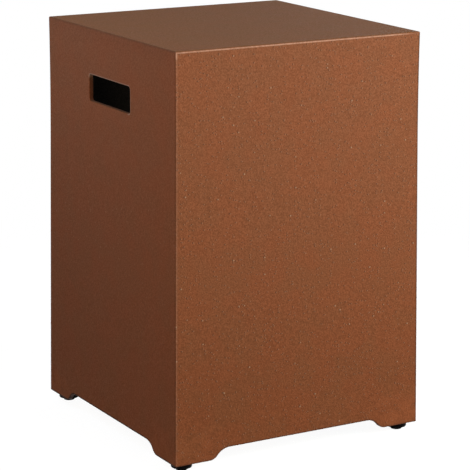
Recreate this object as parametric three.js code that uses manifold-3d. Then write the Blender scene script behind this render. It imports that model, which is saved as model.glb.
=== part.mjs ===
// Cover table for a propane tank: one cast cover, drafted and open below, with two hand-holds,
// an arched cut-out in the bottom of each wall, and a screw foot under each of its four legs.
// Millimetres, +Z up. Left is -X, front is -Y. The origin is on the floor, under the middle of the cover.

import * as THREE from 'three';
import { mergeVertices } from 'three/addons/utils/BufferGeometryUtils.js';
import Module from 'manifold-3d';

// Cover: the width is across the outer faces at the top. Each wall leans out from top to bottom, and its
// outer face flares a little under the top.
const topWidth = 395.5;
const wallLean = 7.1;
const topFlare = 1.65;
const flareHeight = 170;
const coverHeight = 581.4;
const wallThickness = 6.8;
const topThickness = 14;
const uprightEdgeRadius = 1.5;
const topEdgeRadius = 2;
const legEdgeRadius = 1.6;
const cutEdgeRadius = 1.1;
const innerCornerRadius = 14;
const innerTopRadius = 12;

// Hand-holds: clear opening, and its upper edge below the table top
const handHoldWidth = 128;
const handHoldHeight = 39;
const handHoldCornerRadius = 5;
const handHoldDrop = 67;

// Arched cut-outs: each end is a rounded toe, a ramp and a cove
const legWidth = 56.5;
const archHeight = 15.3;
const toeRadius = 14;
const coveRadius = 22;
const rampAngle = THREE.MathUtils.degToRad(47);

// Corner blocks: width from the inner wall faces
const blockWidth = 32;
const blockHeight = 40;
const blockCornerRadius = 9;
const blockChamfer = 3;

// Threaded inserts: the flange cover is the cast material left between flange and block side
const insertDiameter = 13;
const insertLength = 22;
const insertFlangeDiameter = 20;
const insertFlangeThickness = 2;
const insertChamfer = 0.6;
const flangeCover = 4.4;
const gripGrooveDepth = 0.8;
const gripGrooveWidth = 2.4;
const gripGrooveCount = 2;

// Feet
const studDiameter = 8;
const studLength = 37;
const studChamfer = 1;
const headAcrossFlats = 13;
const headHeight = 4.8;
const headChamfer = 0.7;
const discDiameter = 30;
const discHeight = 8;
const discLowerRadius = 1.2;
const discUpperRadius = 0.8;
const soleDiameter = 16.6;
const soleHeight = 4;
const soleEdgeRadius = 0.9;
const spigotDiameter = 6;
const spigotChamfer = 0.4;

// Clearances: pieces that meet, pieces that turn in one another, the stud's end, and how far cuts run past
const seatGap = 0.3;
const runningGap = 0.3;
const studEndGap = 2.5;
const overrun = 5;

// Steps in curves
const flareSteps = 5;
const uprightEdgeSteps = 4;
const innerCornerSteps = 6;
const edgeSteps = 4;
const cutEdgeSteps = 3;
const innerTopSteps = 5;
const handHoldCornerSteps = 6;
const toeSteps = 3;
const coveSteps = 5;
const blockCornerSteps = 5;
const discTurnSteps = 36;
const turnSteps = 20;
const lowerRoundingSteps = 4;
const upperRoundingSteps = 2;

// A rounded corner that shrinks with its ring never falls below this share of its full radius
const leastCornerShare = 0.4;

const baseWidth = topWidth + 2 * (wallLean - topFlare);
const discFloorThickness = discHeight - headHeight - seatGap;
const legBottom = soleHeight + seatGap + discHeight + seatGap;
const footInset = wallThickness + seatGap + flangeCover + insertFlangeDiameter / 2;
const quarterTurn = Math.PI / 2;
const hexagonSides = 6;

const wasm = await Module();
wasm.setup();

// Solids and geometries

function solidOf(geometry) {
  const bare = geometry.clone();
  bare.deleteAttribute('normal');
  bare.deleteAttribute('uv');
  const merged = mergeVertices(bare);
  const vertProperties = new Float32Array(merged.attributes.position.array);
  const triVerts = new Uint32Array(merged.index.array);
  return new wasm.Manifold(new wasm.Mesh({ numProp: 3, vertProperties, triVerts }));
}

function geometryOf(solid) {
  const mesh = solid.getMesh();
  const geometry = new THREE.BufferGeometry();
  geometry.setAttribute('position', new THREE.BufferAttribute(mesh.vertProperties, 3));
  geometry.setIndex(new THREE.BufferAttribute(mesh.triVerts, 1));
  geometry.computeVertexNormals();
  return geometry;
}

// A closed solid through level sections, lowest first, whose outlines run counter-clockwise
// and all have as many points
function loft(sections) {
  const count = sections[0].outline.length;
  const positions = sections.flatMap(({ outline, z }) => outline.flatMap((p) => [p.x, p.y, z]));
  const faces = [];
  for (let level = 0; level < sections.length - 1; level += 1) {
    for (let i = 0; i < count; i += 1) {
      const next = (i + 1) % count;
      const low = level * count;
      const high = low + count;
      faces.push([low + i, low + next, high + next], [low + i, high + next, high + i]);
    }
  }
  const last = (sections.length - 1) * count;
  for (const [a, b, c] of THREE.ShapeUtils.triangulateShape(sections[0].outline, [])) {
    faces.push([c, b, a]);
  }
  for (const [a, b, c] of THREE.ShapeUtils.triangulateShape(sections.at(-1).outline, [])) {
    faces.push([last + a, last + b, last + c]);
  }
  const geometry = new THREE.BufferGeometry();
  geometry.setAttribute('position', new THREE.Float32BufferAttribute(positions, 3));
  geometry.setIndex(faces.flat());
  return geometry;
}

// A body turned about the Z axis from a profile of radius and height
function turned(profile, steps) {
  const points = profile.map(([radius, height]) => new THREE.Vector2(radius, height));
  return new THREE.LatheGeometry(points, steps).rotateX(quarterTurn);
}

function hexagon(acrossFlats, height) {
  const cornerRadius = acrossFlats / 2 / Math.cos(Math.PI / hexagonSides);
  return new THREE.CylinderGeometry(cornerRadius, cornerRadius, height, hexagonSides)
    .rotateX(quarterTurn)
    .translate(0, 0, height / 2);
}

// Outlines and edges

function arc(centreX, centreY, radius, fromAngle, toAngle, steps) {
  const points = [];
  for (let i = 0; i <= steps; i += 1) {
    const angle = THREE.MathUtils.lerp(fromAngle, toAngle, i / steps);
    points.push(new THREE.Vector2(centreX + radius * Math.cos(angle), centreY + radius * Math.sin(angle)));
  }
  return points;
}

function roundedRectangle(width, height, radius, steps) {
  const points = [];
  for (const [quarter, sideX, sideY] of [[0, 1, 1], [1, -1, 1], [2, -1, -1], [3, 1, -1]]) {
    const centreX = sideX * (width / 2 - radius);
    const centreY = sideY * (height / 2 - radius);
    const start = quarter * quarterTurn;
    points.push(...arc(centreX, centreY, radius, start, start + quarterTurn, steps));
  }
  return points;
}

// Depth under the edge's two faces, from one tangent point of the rounding to the other
function rounding(radius, steps) {
  const cuts = [];
  for (let i = 0; i <= steps; i += 1) {
    const angle = quarterTurn * (i / steps);
    cuts.push({ inset: radius * (1 - Math.cos(angle)), drop: radius * (1 - Math.sin(angle)) });
  }
  return cuts;
}

// Cover

const straightWidthAt = (z) => baseWidth - 2 * wallLean * (z / coverHeight);
const innerWidthAt = (z) => straightWidthAt(z) - 2 * wallThickness;

function outerWidthAt(z) {
  const flareShare = Math.max(1 - (coverHeight - z) / flareHeight, 0);
  return straightWidthAt(z) + 2 * topFlare * flareShare ** 2;
}

function squareSection(width, fullRadius, inset, steps, z) {
  const radius = Math.max(fullRadius - inset, fullRadius * leastCornerShare);
  return { outline: roundedRectangle(width - 2 * inset, width - 2 * inset, radius, steps), z };
}

function outerSolid() {
  const section = (inset, z) => squareSection(outerWidthAt(z), uprightEdgeRadius, inset, uprightEdgeSteps, z);
  const bottom = rounding(legEdgeRadius, edgeSteps).reverse();
  const top = rounding(topEdgeRadius, edgeSteps);
  const flare = [];
  for (let i = 0; i < flareSteps; i += 1) {
    flare.push(section(0, coverHeight - flareHeight * (1 - i / flareSteps)));
  }
  return solidOf(loft([
    ...bottom.map(({ inset, drop }) => section(inset, drop)),
    ...flare,
    ...top.map(({ inset, drop }) => section(inset, coverHeight - drop)),
  ]));
}

// The space inside the walls, drawn in by a margin on all sides
function innerSolid(margin) {
  const ceiling = coverHeight - topThickness - margin;
  const section = (inset, z) =>
    squareSection(innerWidthAt(z) - 2 * margin, innerCornerRadius - margin, inset, innerCornerSteps, z);
  const top = rounding(innerTopRadius, innerTopSteps);
  return solidOf(loft([
    section(0, -overrun),
    ...top.map(({ inset, drop }) => section(inset, ceiling - drop)),
  ]));
}

// A cut through a wall, whose outline widens over the eased outer edge and on past the face.
// The outline is seen from outside: x along the wall from its middle, y up the wall, z outwards.
function wallCut(outlineGrownBy) {
  const flare = rounding(cutEdgeRadius, cutEdgeSteps);
  const atFace = flare.pop();
  const underFace = flare.at(-1);
  const pastFace = 2 * atFace.inset - underFace.inset;
  return solidOf(loft([
    { outline: outlineGrownBy(0), z: -wallThickness - overrun },
    ...flare.map(({ inset, drop }) => ({ outline: outlineGrownBy(inset), z: -drop })),
    { outline: outlineGrownBy(pastFace), z: underFace.drop },
    { outline: outlineGrownBy(pastFace), z: overrun },
  ]));
}

// The cut, lying on the outer face of a wall with its outline's y = 0 at the lower of two heights
function placedOnWall(cut, heading, low, high) {
  const outwards = new THREE.Vector3(Math.cos(heading), Math.sin(heading), 0);
  const up = new THREE.Vector3(0, 0, 1);
  const along = new THREE.Vector3().crossVectors(up, outwards);
  const lean = Math.atan2((outerWidthAt(low) - outerWidthAt(high)) / 2, high - low);
  const frame = new THREE.Matrix4()
    .makeBasis(along, up.clone(), outwards)
    .multiply(new THREE.Matrix4().makeRotationX(-lean))
    .setPosition(outwards.multiplyScalar(outerWidthAt(low) / 2).setZ(low));
  return cut.transform(frame.elements);
}

function handHoldOutline(growth) {
  return roundedRectangle(
    handHoldWidth + 2 * growth,
    handHoldHeight + 2 * growth,
    handHoldCornerRadius + growth,
    handHoldCornerSteps,
  ).map((point) => point.add(new THREE.Vector2(0, handHoldHeight / 2)));
}

// One end of an arch, from under the leg to the level arch line, on the +X side of the wall's middle.
// A growth moves the outline into the cover by as much at every point. The toe's first step runs
// on below the leg, so that the cut leaves the leg bottom at a clear angle.
function archEnd(growth) {
  const toeX = baseWidth / 2 - legWidth;
  const toe = Math.max(toeRadius - growth, toeRadius * leastCornerShare);
  const rampRise = archHeight - (toeRadius + coveRadius) * (1 - Math.cos(rampAngle));
  const rampRun = Math.max(rampRise, 0) / Math.tan(rampAngle);
  const coveX = toeX - (toeRadius + coveRadius) * Math.sin(rampAngle) - rampRun;
  const coveZ = archHeight - coveRadius;
  const toeArc = arc(toeX, toeRadius, toe, -quarterTurn, -quarterTurn - rampAngle, toeSteps);
  const runOn = toeArc[0].clone().multiplyScalar(2).sub(toeArc[1]);
  toeArc[0] = runOn;
  return [
    new THREE.Vector2(runOn.x, -overrun),
    ...toeArc,
    ...arc(coveX, coveZ, coveRadius + growth, quarterTurn - rampAngle, quarterTurn, coveSteps),
  ];
}

function archOutline(growth) {
  const end = archEnd(growth);
  const otherEnd = end.map((point) => new THREE.Vector2(-point.x, point.y)).reverse();
  return [...end, ...otherEnd];
}

function coverGeometry() {
  let cover = outerSolid().subtract(innerSolid(0));
  const arch = wallCut(archOutline);
  const handHold = wallCut(handHoldOutline);
  const handHoldTop = coverHeight - handHoldDrop;
  for (let wall = 0; wall < 4; wall += 1) {
    cover = cover.subtract(placedOnWall(arch, wall * quarterTurn, 0, archHeight));
  }
  for (const heading of [0, Math.PI]) {
    cover = cover.subtract(placedOnWall(handHold, heading, handHoldTop - handHoldHeight, handHoldTop));
  }
  return geometryOf(cover);
}

// Corner block with its stepped bore, in the cover's front left corner

const footOffset = baseWidth / 2 - footInset;
const studTop = -seatGap - headHeight + studLength;

function boreSolid() {
  const flangeRadius = insertFlangeDiameter / 2 + seatGap;
  const flangeTop = insertFlangeThickness + seatGap;
  const barrelRadius = insertDiameter / 2 + seatGap;
  const barrelTop = insertLength + seatGap;
  const studRadius = studDiameter / 2 + runningGap;
  return solidOf(turned([
    [0, -overrun],
    [flangeRadius, -overrun],
    [flangeRadius, flangeTop],
    [barrelRadius, flangeTop],
    [barrelRadius, barrelTop],
    [studRadius, barrelTop],
    [studRadius, studTop + studEndGap],
    [0, studTop + studEndGap],
  ], turnSteps)).translate([-footOffset, -footOffset, 0]);
}

function blockGeometry() {
  const farSide = innerWidthAt(0) / 2 + overrun;
  const nearSide = innerWidthAt(0) / 2 - blockWidth;
  const centre = -(farSide + nearSide) / 2;
  const section = (inset, z) => {
    const width = farSide - nearSide - 2 * inset;
    const outline = roundedRectangle(width, width, blockCornerRadius, blockCornerSteps);
    return { outline: outline.map((point) => point.add(new THREE.Vector2(centre, centre))), z };
  };
  const block = solidOf(loft([
    section(0, 0),
    section(0, blockHeight - blockChamfer),
    section(blockChamfer, blockHeight),
  ]));
  return geometryOf(block.intersect(innerSolid(seatGap)).subtract(boreSolid()));
}

// Threaded insert: a flanged barrel with grip grooves, its flange at z = 0 in the leg bottom

function insertGeometry() {
  const bore = studDiameter / 2 + runningGap;
  const barrel = insertDiameter / 2;
  const flange = insertFlangeDiameter / 2;
  const grooveSpacing = (insertLength - insertFlangeThickness) / gripGrooveCount;
  const grooves = [];
  for (let i = 0; i < gripGrooveCount; i += 1) {
    const middle = insertFlangeThickness + grooveSpacing * (i + 1 / 2);
    const low = middle - gripGrooveWidth / 2;
    const high = middle + gripGrooveWidth / 2;
    grooves.push(
      [barrel, low],
      [barrel - gripGrooveDepth, low],
      [barrel - gripGrooveDepth, high],
      [barrel, high],
    );
  }
  return turned([
    [bore, 0],
    [flange - insertChamfer, 0],
    [flange, insertChamfer],
    [flange, insertFlangeThickness],
    [barrel, insertFlangeThickness],
    ...grooves,
    [barrel, insertLength - insertChamfer],
    [barrel - insertChamfer, insertLength],
    [bore, insertLength],
    [bore, 0],
  ], turnSteps);
}

// Stud with its hexagonal head, from the underside of the head at z = 0

function studGeometry() {
  const radius = studDiameter / 2;
  const headRadius = headAcrossFlats / 2;
  const rod = solidOf(turned([
    [0, headHeight / 2],
    [radius, headHeight / 2],
    [radius, studLength - studChamfer],
    [radius - studChamfer, studLength],
    [0, studLength],
  ], turnSteps));
  const headRounding = solidOf(turned([
    [0, 0],
    [headRadius + headChamfer, 0],
    [headRadius + headChamfer, headHeight - headChamfer],
    [headRadius, headHeight],
    [0, headHeight],
  ], turnSteps));
  const head = solidOf(hexagon(headAcrossFlats, headHeight)).intersect(headRounding);
  return geometryOf(head.add(rod));
}

// Disc with a hexagonal pocket above and a hole below, from its underside at z = 0

function discGeometry() {
  const radius = discDiameter / 2;
  const hole = spigotDiameter / 2 + runningGap;
  const lower = rounding(discLowerRadius, lowerRoundingSteps).reverse();
  const upper = rounding(discUpperRadius, upperRoundingSteps);
  const disc = solidOf(turned([
    [hole, 0],
    ...lower.map(({ inset, drop }) => [radius - inset, drop]),
    ...upper.map(({ inset, drop }) => [radius - inset, discHeight - drop]),
    [hole, discHeight],
    [hole, 0],
  ], discTurnSteps));
  const pocketDepth = discHeight - discFloorThickness;
  const pocket = solidOf(hexagon(headAcrossFlats + 2 * seatGap, pocketDepth + overrun));
  return geometryOf(disc.subtract(pocket.translate([0, 0, discFloorThickness])));
}

// Sole with the spigot that holds it to the disc, from the floor at z = 0

function soleGeometry() {
  const radius = soleDiameter / 2;
  const spigot = spigotDiameter / 2;
  const spigotTop = soleHeight + seatGap + discFloorThickness;
  const lower = rounding(soleEdgeRadius, lowerRoundingSteps).reverse();
  return turned([
    [0, 0],
    ...lower.map(({ inset, drop }) => [radius - inset, drop]),
    [radius, soleHeight],
    [spigot, soleHeight],
    [spigot, spigotTop - spigotChamfer],
    [spigot - spigotChamfer, spigotTop],
    [0, spigotTop],
  ], turnSteps);
}

// Materials

const castFinish = new THREE.MeshStandardMaterial({ color: 0x8a5439, roughness: 0.72, metalness: 0 });
const rawCast = new THREE.MeshStandardMaterial({ color: 0x2a2826, roughness: 0.95, metalness: 0 });
const zincSteel = new THREE.MeshStandardMaterial({ color: 0xb9bcc0, roughness: 0.35, metalness: 1 });
const blackPlastic = new THREE.MeshStandardMaterial({ color: 0x121212, roughness: 0.5, metalness: 0 });
const blackRubber = new THREE.MeshStandardMaterial({ color: 0x1b1b1b, roughness: 0.9, metalness: 0 });

// Assembly

function piece(name, geometry, material, place = [0, 0, 0], turn = 0) {
  const mesh = new THREE.Mesh(geometry, material);
  mesh.name = name;
  mesh.position.set(...place);
  mesh.rotation.z = turn;
  return mesh;
}

const table = new THREE.Group();
table.add(piece('cover_shell', coverGeometry(), castFinish, [0, 0, legBottom]));

const block = blockGeometry();
const insert = insertGeometry();
const stud = studGeometry();
const disc = discGeometry();
const sole = soleGeometry();
const discBottom = soleHeight + seatGap;
const headBottom = discBottom + discFloorThickness + seatGap;

for (const [quarter, corner] of ['front_left', 'front_right', 'rear_right', 'rear_left'].entries()) {
  const turn = quarter * quarterTurn;
  table.add(piece(`corner_block_${corner}`, block, rawCast, [0, 0, legBottom], turn));
  const foot = new THREE.Group();
  foot.rotation.z = turn;
  const place = (z) => [-footOffset, -footOffset, z];
  foot.add(piece(`threaded_insert_${corner}`, insert, zincSteel, place(legBottom)));
  foot.add(piece(`stud_${corner}`, stud, zincSteel, place(headBottom)));
  foot.add(piece(`foot_disc_${corner}`, disc, blackPlastic, place(discBottom)));
  foot.add(piece(`foot_sole_${corner}`, sole, blackRubber, place(0)));
  table.add(foot);
}

export default table;
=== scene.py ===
import math

import bmesh
import bpy
from mathutils import Matrix, Vector


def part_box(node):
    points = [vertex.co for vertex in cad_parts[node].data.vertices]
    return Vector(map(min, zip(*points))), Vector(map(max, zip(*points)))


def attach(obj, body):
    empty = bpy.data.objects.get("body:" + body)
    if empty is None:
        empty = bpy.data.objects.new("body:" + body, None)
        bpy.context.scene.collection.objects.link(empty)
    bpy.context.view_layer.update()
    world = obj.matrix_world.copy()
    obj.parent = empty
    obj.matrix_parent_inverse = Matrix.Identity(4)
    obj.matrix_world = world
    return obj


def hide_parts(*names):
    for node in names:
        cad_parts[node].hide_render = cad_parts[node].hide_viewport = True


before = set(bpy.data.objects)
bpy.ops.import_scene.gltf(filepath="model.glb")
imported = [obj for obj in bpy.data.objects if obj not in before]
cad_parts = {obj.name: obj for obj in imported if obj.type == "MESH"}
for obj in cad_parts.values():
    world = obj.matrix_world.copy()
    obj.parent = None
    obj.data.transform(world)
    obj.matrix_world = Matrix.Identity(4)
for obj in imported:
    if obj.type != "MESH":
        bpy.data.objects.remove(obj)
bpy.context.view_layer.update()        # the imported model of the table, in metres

cornerNames = ["front_left", "front_right", "rear_right", "rear_left"]
print("loaded", len(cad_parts), "model pieces")


# Selecting and editing

aligned = 0.9             # cosine of the angle between directions that count as one
samePlace = 0.00003       # distance between places that count as one


def selectNothing():
    if bpy.context.mode != "OBJECT":
        bpy.ops.object.mode_set(mode="OBJECT")
    bpy.ops.object.select_all(action="DESELECT")


def makeActive(piece):
    selectNothing()
    piece.select_set(True)
    bpy.context.view_layer.objects.active = piece


def named(name):
    piece = bpy.context.object
    piece.name = name
    piece.data.name = name
    return piece


def applyPlace(piece):
    makeActive(piece)
    bpy.ops.object.transform_apply(location=True, rotation=True, scale=True)


def addBlock(name, centre, size):
    selectNothing()
    bpy.ops.mesh.primitive_cube_add(size=1, location=centre, scale=size)
    block = named(name)
    applyPlace(block)
    return block


def edit(piece):
    makeActive(piece)
    bpy.ops.object.mode_set(mode="EDIT")


def stopEditing():
    bpy.ops.object.mode_set(mode="OBJECT")


def pick(piece, kind, wanted):
    bpy.ops.mesh.select_mode(type=kind)
    bpy.ops.mesh.select_all(action="DESELECT")
    mesh = bmesh.from_edit_mesh(piece.data)
    found = 0
    for part in {"FACE": mesh.faces, "EDGE": mesh.edges, "VERT": mesh.verts}[kind]:
        if wanted(part):
            part.select_set(True)
            found += 1
    mesh.select_flush_mode()
    bmesh.update_edit_mesh(piece.data)
    return found


def middle(edge):
    return (edge.verts[0].co + edge.verts[1].co) / 2


def along(edge):
    return (edge.verts[1].co - edge.verts[0].co).normalized()


def easeEdges(radius, steps, **settings):
    bpy.ops.mesh.bevel(offset=radius, segments=steps, affect="EDGES", **settings)


def turnFacesOut():
    bpy.ops.mesh.select_all(action="SELECT")
    bpy.ops.mesh.normals_make_consistent(inside=False)


def applyModifier(piece, modifier):
    makeActive(piece)
    bpy.ops.object.modifier_apply(modifier=modifier.name)


def combine(piece, tool, operation):
    selectNothing()
    modifier = piece.modifiers.new("combine", "BOOLEAN")
    modifier.operation = operation
    modifier.solver = "EXACT"
    modifier.object = tool
    applyModifier(piece, modifier)
    bpy.data.objects.remove(tool)


def finishSurface(piece, smoothAngle=35):
    makeActive(piece)
    bpy.ops.object.shade_smooth_by_angle(angle=math.radians(smoothAngle))
    normals = piece.modifiers.new("normals", "WEIGHTED_NORMAL")
    normals.keep_sharp = True
    applyModifier(piece, normals)


# Camera, floor and lights

cameraSetup = {
    "azimuth": -30.0300,
    "elevation": 13.7247,
    "roll": 0.1762,
    "lens": 161.872,
    "sensor": 36,
    "place": (-1.52191, -2.64849, 1.02414),
}


def addCamera():
    azimuth = math.radians(cameraSetup["azimuth"])
    elevation = math.radians(cameraSetup["elevation"])
    roll = math.radians(cameraSetup["roll"])
    back = Vector((
        math.sin(azimuth) * math.cos(elevation),
        -math.cos(azimuth) * math.cos(elevation),
        math.sin(elevation),
    ))
    right = Vector((math.cos(azimuth), math.sin(azimuth), 0))
    up = back.cross(right)
    across = math.cos(roll) * right + math.sin(roll) * up
    upwards = math.cos(roll) * up - math.sin(roll) * right
    selectNothing()
    bpy.ops.object.camera_add()
    camera = bpy.context.object
    camera.name = "camera"
    turn = Matrix((across, upwards, back)).transposed().to_4x4()
    camera.matrix_world = Matrix.Translation(cameraSetup["place"]) @ turn
    camera.data.sensor_width = cameraSetup["sensor"]
    camera.data.lens = cameraSetup["lens"]
    bpy.context.scene.camera = camera
    print("camera placed")


def addNode(tree, kind, sockets=None, **settings):
    node = tree.nodes.new("ShaderNode" + kind)
    for label, value in settings.items():
        setattr(node, label, value)
    for socket, value in (sockets or {}).items():
        if isinstance(value, bpy.types.NodeSocket):
            tree.links.new(value, node.inputs[socket])
        else:
            node.inputs[socket].default_value = value
    return node


def solve(tree, way, *values):
    return addNode(tree, "Math", dict(enumerate(values)), operation=way).outputs[0]


def grey(level):
    return (level, level, level, 1)


def raysThatSeeWhite(tree):
    rays = addNode(tree, "LightPath").outputs
    either = solve(tree, "MAXIMUM", rays["Is Camera Ray"], rays["Is Glossy Ray"])
    return solve(tree, "MAXIMUM", either, rays["Is Transmission Ray"])


# The floor shows white with the shadow of the object, which fades out between two distances from it
floorSetup = {"size": 30, "seeThrough": 0.945, "paint": 0.24, "bounce": 0.15, "shadowFades": (0.75, 1.25)}


def addFloor():
    selectNothing()
    bpy.ops.mesh.primitive_plane_add(size=floorSetup["size"])
    floor = named("floor")
    material = bpy.data.materials.new("floor")
    material.use_nodes = True
    tree = material.node_tree
    tree.nodes.clear()
    clear = addNode(tree, "BsdfTransparent", {0: grey(floorSetup["seeThrough"])})
    paint = addNode(tree, "BsdfDiffuse", {0: grey(floorSetup["paint"])})
    shadowed = addNode(tree, "AddShader", {0: clear.outputs[0], 1: paint.outputs[0]})
    place = addNode(tree, "TexCoord").outputs["Object"]
    distance = addNode(tree, "VectorMath", {0: place}, operation="LENGTH").outputs["Value"]
    near, far = floorSetup["shadowFades"]
    fade = addNode(tree, "MapRange", {0: distance, 1: near, 2: far}, interpolation_type="SMOOTHSTEP")
    plain = addNode(tree, "BsdfTransparent", {0: grey(1)})
    seen = addNode(tree, "MixShader", {0: fade.outputs[0], 1: shadowed.outputs[0], 2: plain.outputs[0]})
    bounce = addNode(tree, "BsdfDiffuse", {0: grey(floorSetup["bounce"])})
    choose = addNode(tree, "MixShader", {
        0: raysThatSeeWhite(tree), 1: bounce.outputs[0], 2: seen.outputs[0]})
    under = addNode(tree, "NewGeometry").outputs["Backfacing"]
    surface = addNode(tree, "MixShader", {0: under, 1: choose.outputs[0], 2: plain.outputs[0]})
    addNode(tree, "OutputMaterial", {"Surface": surface.outputs[0]})
    floor.data.materials.append(material)


def addRoom(level):
    world = bpy.data.worlds.new("room")
    bpy.context.scene.world = world
    world.use_nodes = True
    tree = world.node_tree
    tree.nodes.clear()
    soft = addNode(tree, "Background", {"Strength": level})
    white = addNode(tree, "Background", {"Strength": 1})
    soft.inputs["Color"].default_value = white.inputs["Color"].default_value = grey(1)
    choose = addNode(tree, "MixShader", {
        0: raysThatSeeWhite(tree), 1: soft.outputs[0], 2: white.outputs[0]})
    addNode(tree, "OutputWorld", {"Surface": choose.outputs[0]})


# All lamps face a point inside the cover
lamps = {
    "keyLamp": {"place": (1.35, -1.20, 0.70), "size": 0.8, "power": 21.6, "colour": (1.00, 0.85, 0.66)},
    "frontLamp": {"place": (0.40, -1.51, 1.25), "size": 0.8, "power": 12.4, "colour": (0.58, 0.84, 1.00)},
    "fillLamp": {"place": (-1.10, -0.90, 0.80), "size": 0.5, "power": 4.7, "colour": (1.00, 0.75, 0.45)},
    "sideLamp": {"place": (-0.70, 0.25, 0.85), "size": 0.4, "power": 1.8, "colour": (0.55, 0.73, 1.00)},
    "backLamp": {"place": (1.70, 1.50, 0.55), "size": 1.2, "power": 16.0, "colour": (1.00, 0.97, 0.92)},
}
lampTarget = Vector((0, 0, 0.35))
roomLevel = 0.05


def addLamps():
    for name, lamp in lamps.items():
        selectNothing()
        bpy.ops.object.light_add(type="AREA", location=lamp["place"])
        light = bpy.context.object
        light.name = name
        light.data.size = lamp["size"]
        light.data.energy = lamp["power"]
        light.data.color = lamp["colour"]
        light.visible_camera = False
        aim = lampTarget - Vector(lamp["place"])
        light.rotation_euler = aim.to_track_quat("-Z", "Y").to_euler()


addCamera()
addFloor()
addRoom(roomLevel)
addLamps()
bpy.context.scene.view_settings.view_transform = "Standard"
print("floor and lights placed")


# Shared effects, built once and placed in each material with its own values

effects = {                 # detail of each noise and the part of its range that is used
    "fineGrain": {"detail": 2, "range": (0.3, 0.7)},
    "colourDrift": {"detail": 1, "range": (0.35, 0.65)},
    "edgeWearLightShade": {"detail": 2, "range": (0.35, 0.65)},
    "sparsePits": {"solid": 0.5},           # share of a pit's radius inside which it is strongest
    "upFacingPatches": {"detail": 3, "range": (0.4, 0.7), "settles": (0.3, 0.95)},     # from steep to level
}


def startGroup(name, takes, gives):
    # Every effect takes a place and a scale besides
    tree = bpy.data.node_groups.new(name, "ShaderNodeTree")
    for label, kind in {"Place": "Vector", "Scale": "Float", **takes}.items():
        tree.interface.new_socket(label, in_out="INPUT", socket_type="NodeSocket" + kind)
    for label, kind in gives.items():
        tree.interface.new_socket(label, in_out="OUTPUT", socket_type="NodeSocket" + kind)
    return tree, tree.nodes.new("NodeGroupInput").outputs


def endGroup(tree, outputs):
    end = tree.nodes.new("NodeGroupOutput")
    for label, socket in outputs.items():
        tree.links.new(socket, end.inputs[label])


def useGroup(tree, name, place, sockets):
    group = bpy.data.node_groups[name]
    return addNode(tree, "Group", {"Place": place, **sockets}, node_tree=group).outputs[0]


def blendColours(tree, share, first, second, way="MIX"):
    sockets = {0: share, 6: first, 7: second}
    return addNode(tree, "Mix", sockets, data_type="RGBA", blend_type=way).outputs[2]


def stretch(tree, value, fromLow, fromHigh, toLow, toHigh):
    sockets = {0: value, 1: fromLow, 2: fromHigh, 3: toLow, 4: toHigh}
    return addNode(tree, "MapRange", sockets, interpolation_type="SMOOTHSTEP").outputs[0]


def multiply(tree, first, second):
    return solve(tree, "MULTIPLY", first, second)


def stretchedNoise(tree, given, name, low, high):
    sockets = {"Vector": given["Place"], "Scale": given["Scale"], "Detail": effects[name]["detail"]}
    noise = addNode(tree, "TexNoise", sockets)
    return stretch(tree, noise.outputs[0], *effects[name]["range"], low, high)


def makeFineGrain():
    tree, given = startGroup("fineGrain", {"Low": "Float", "High": "Float"}, {"Level": "Float"})
    endGroup(tree, {"Level": stretchedNoise(tree, given, "fineGrain", given["Low"], given["High"])})


def makeColourDrift():
    tree, given = startGroup("colourDrift", {"First": "Color", "Second": "Color"}, {"Colour": "Color"})
    share = stretchedNoise(tree, given, "colourDrift", 0, 1)
    endGroup(tree, {"Colour": blendColours(tree, share, given["First"], given["Second"])})


def makeEdgeWearLightShade():
    takes = {"Edge": "Float", "Gaps": "Float", "Most": "Float"}
    tree, given = startGroup("edgeWearLightShade", takes, {"Mask": "Float"})
    broken = stretchedNoise(tree, given, "edgeWearLightShade", given["Gaps"], 1)
    endGroup(tree, {"Mask": multiply(tree, multiply(tree, given["Edge"], broken), given["Most"])})


def makeSparsePits():
    tree, given = startGroup("sparsePits", {"Share": "Float", "Size": "Float"}, {"Pit": "Float"})
    cells = addNode(tree, "TexVoronoi", {"Vector": given["Place"], "Scale": given["Scale"]}).outputs
    chance = addNode(tree, "SeparateColor", {0: cells["Color"]}).outputs[0]
    chosen = solve(tree, "LESS_THAN", chance, given["Share"])
    ratio = solve(tree, "DIVIDE", cells["Distance"], given["Size"])
    pit = stretch(tree, ratio, effects["sparsePits"]["solid"], 1, 1, 0)
    endGroup(tree, {"Pit": multiply(tree, pit, chosen)})


def makeUpFacingPatches():
    tree, given = startGroup("upFacingPatches", {"Least": "Float", "Most": "Float"}, {"Mask": "Float"})
    normal = addNode(tree, "NewGeometry").outputs["Normal"]
    facing = addNode(tree, "SeparateXYZ", {0: normal}).outputs["Z"]
    settled = stretch(tree, facing, *effects["upFacingPatches"]["settles"], 0, 1)
    patches = stretchedNoise(tree, given, "upFacingPatches", given["Least"], 1)
    endGroup(tree, {"Mask": multiply(tree, multiply(tree, settled, patches), given["Most"])})


for makeGroup in (makeFineGrain, makeColourDrift, makeEdgeWearLightShade, makeSparsePits, makeUpFacingPatches):
    makeGroup()
print("shared effects built")


# Sizes of the cover, which its finish also follows

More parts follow.
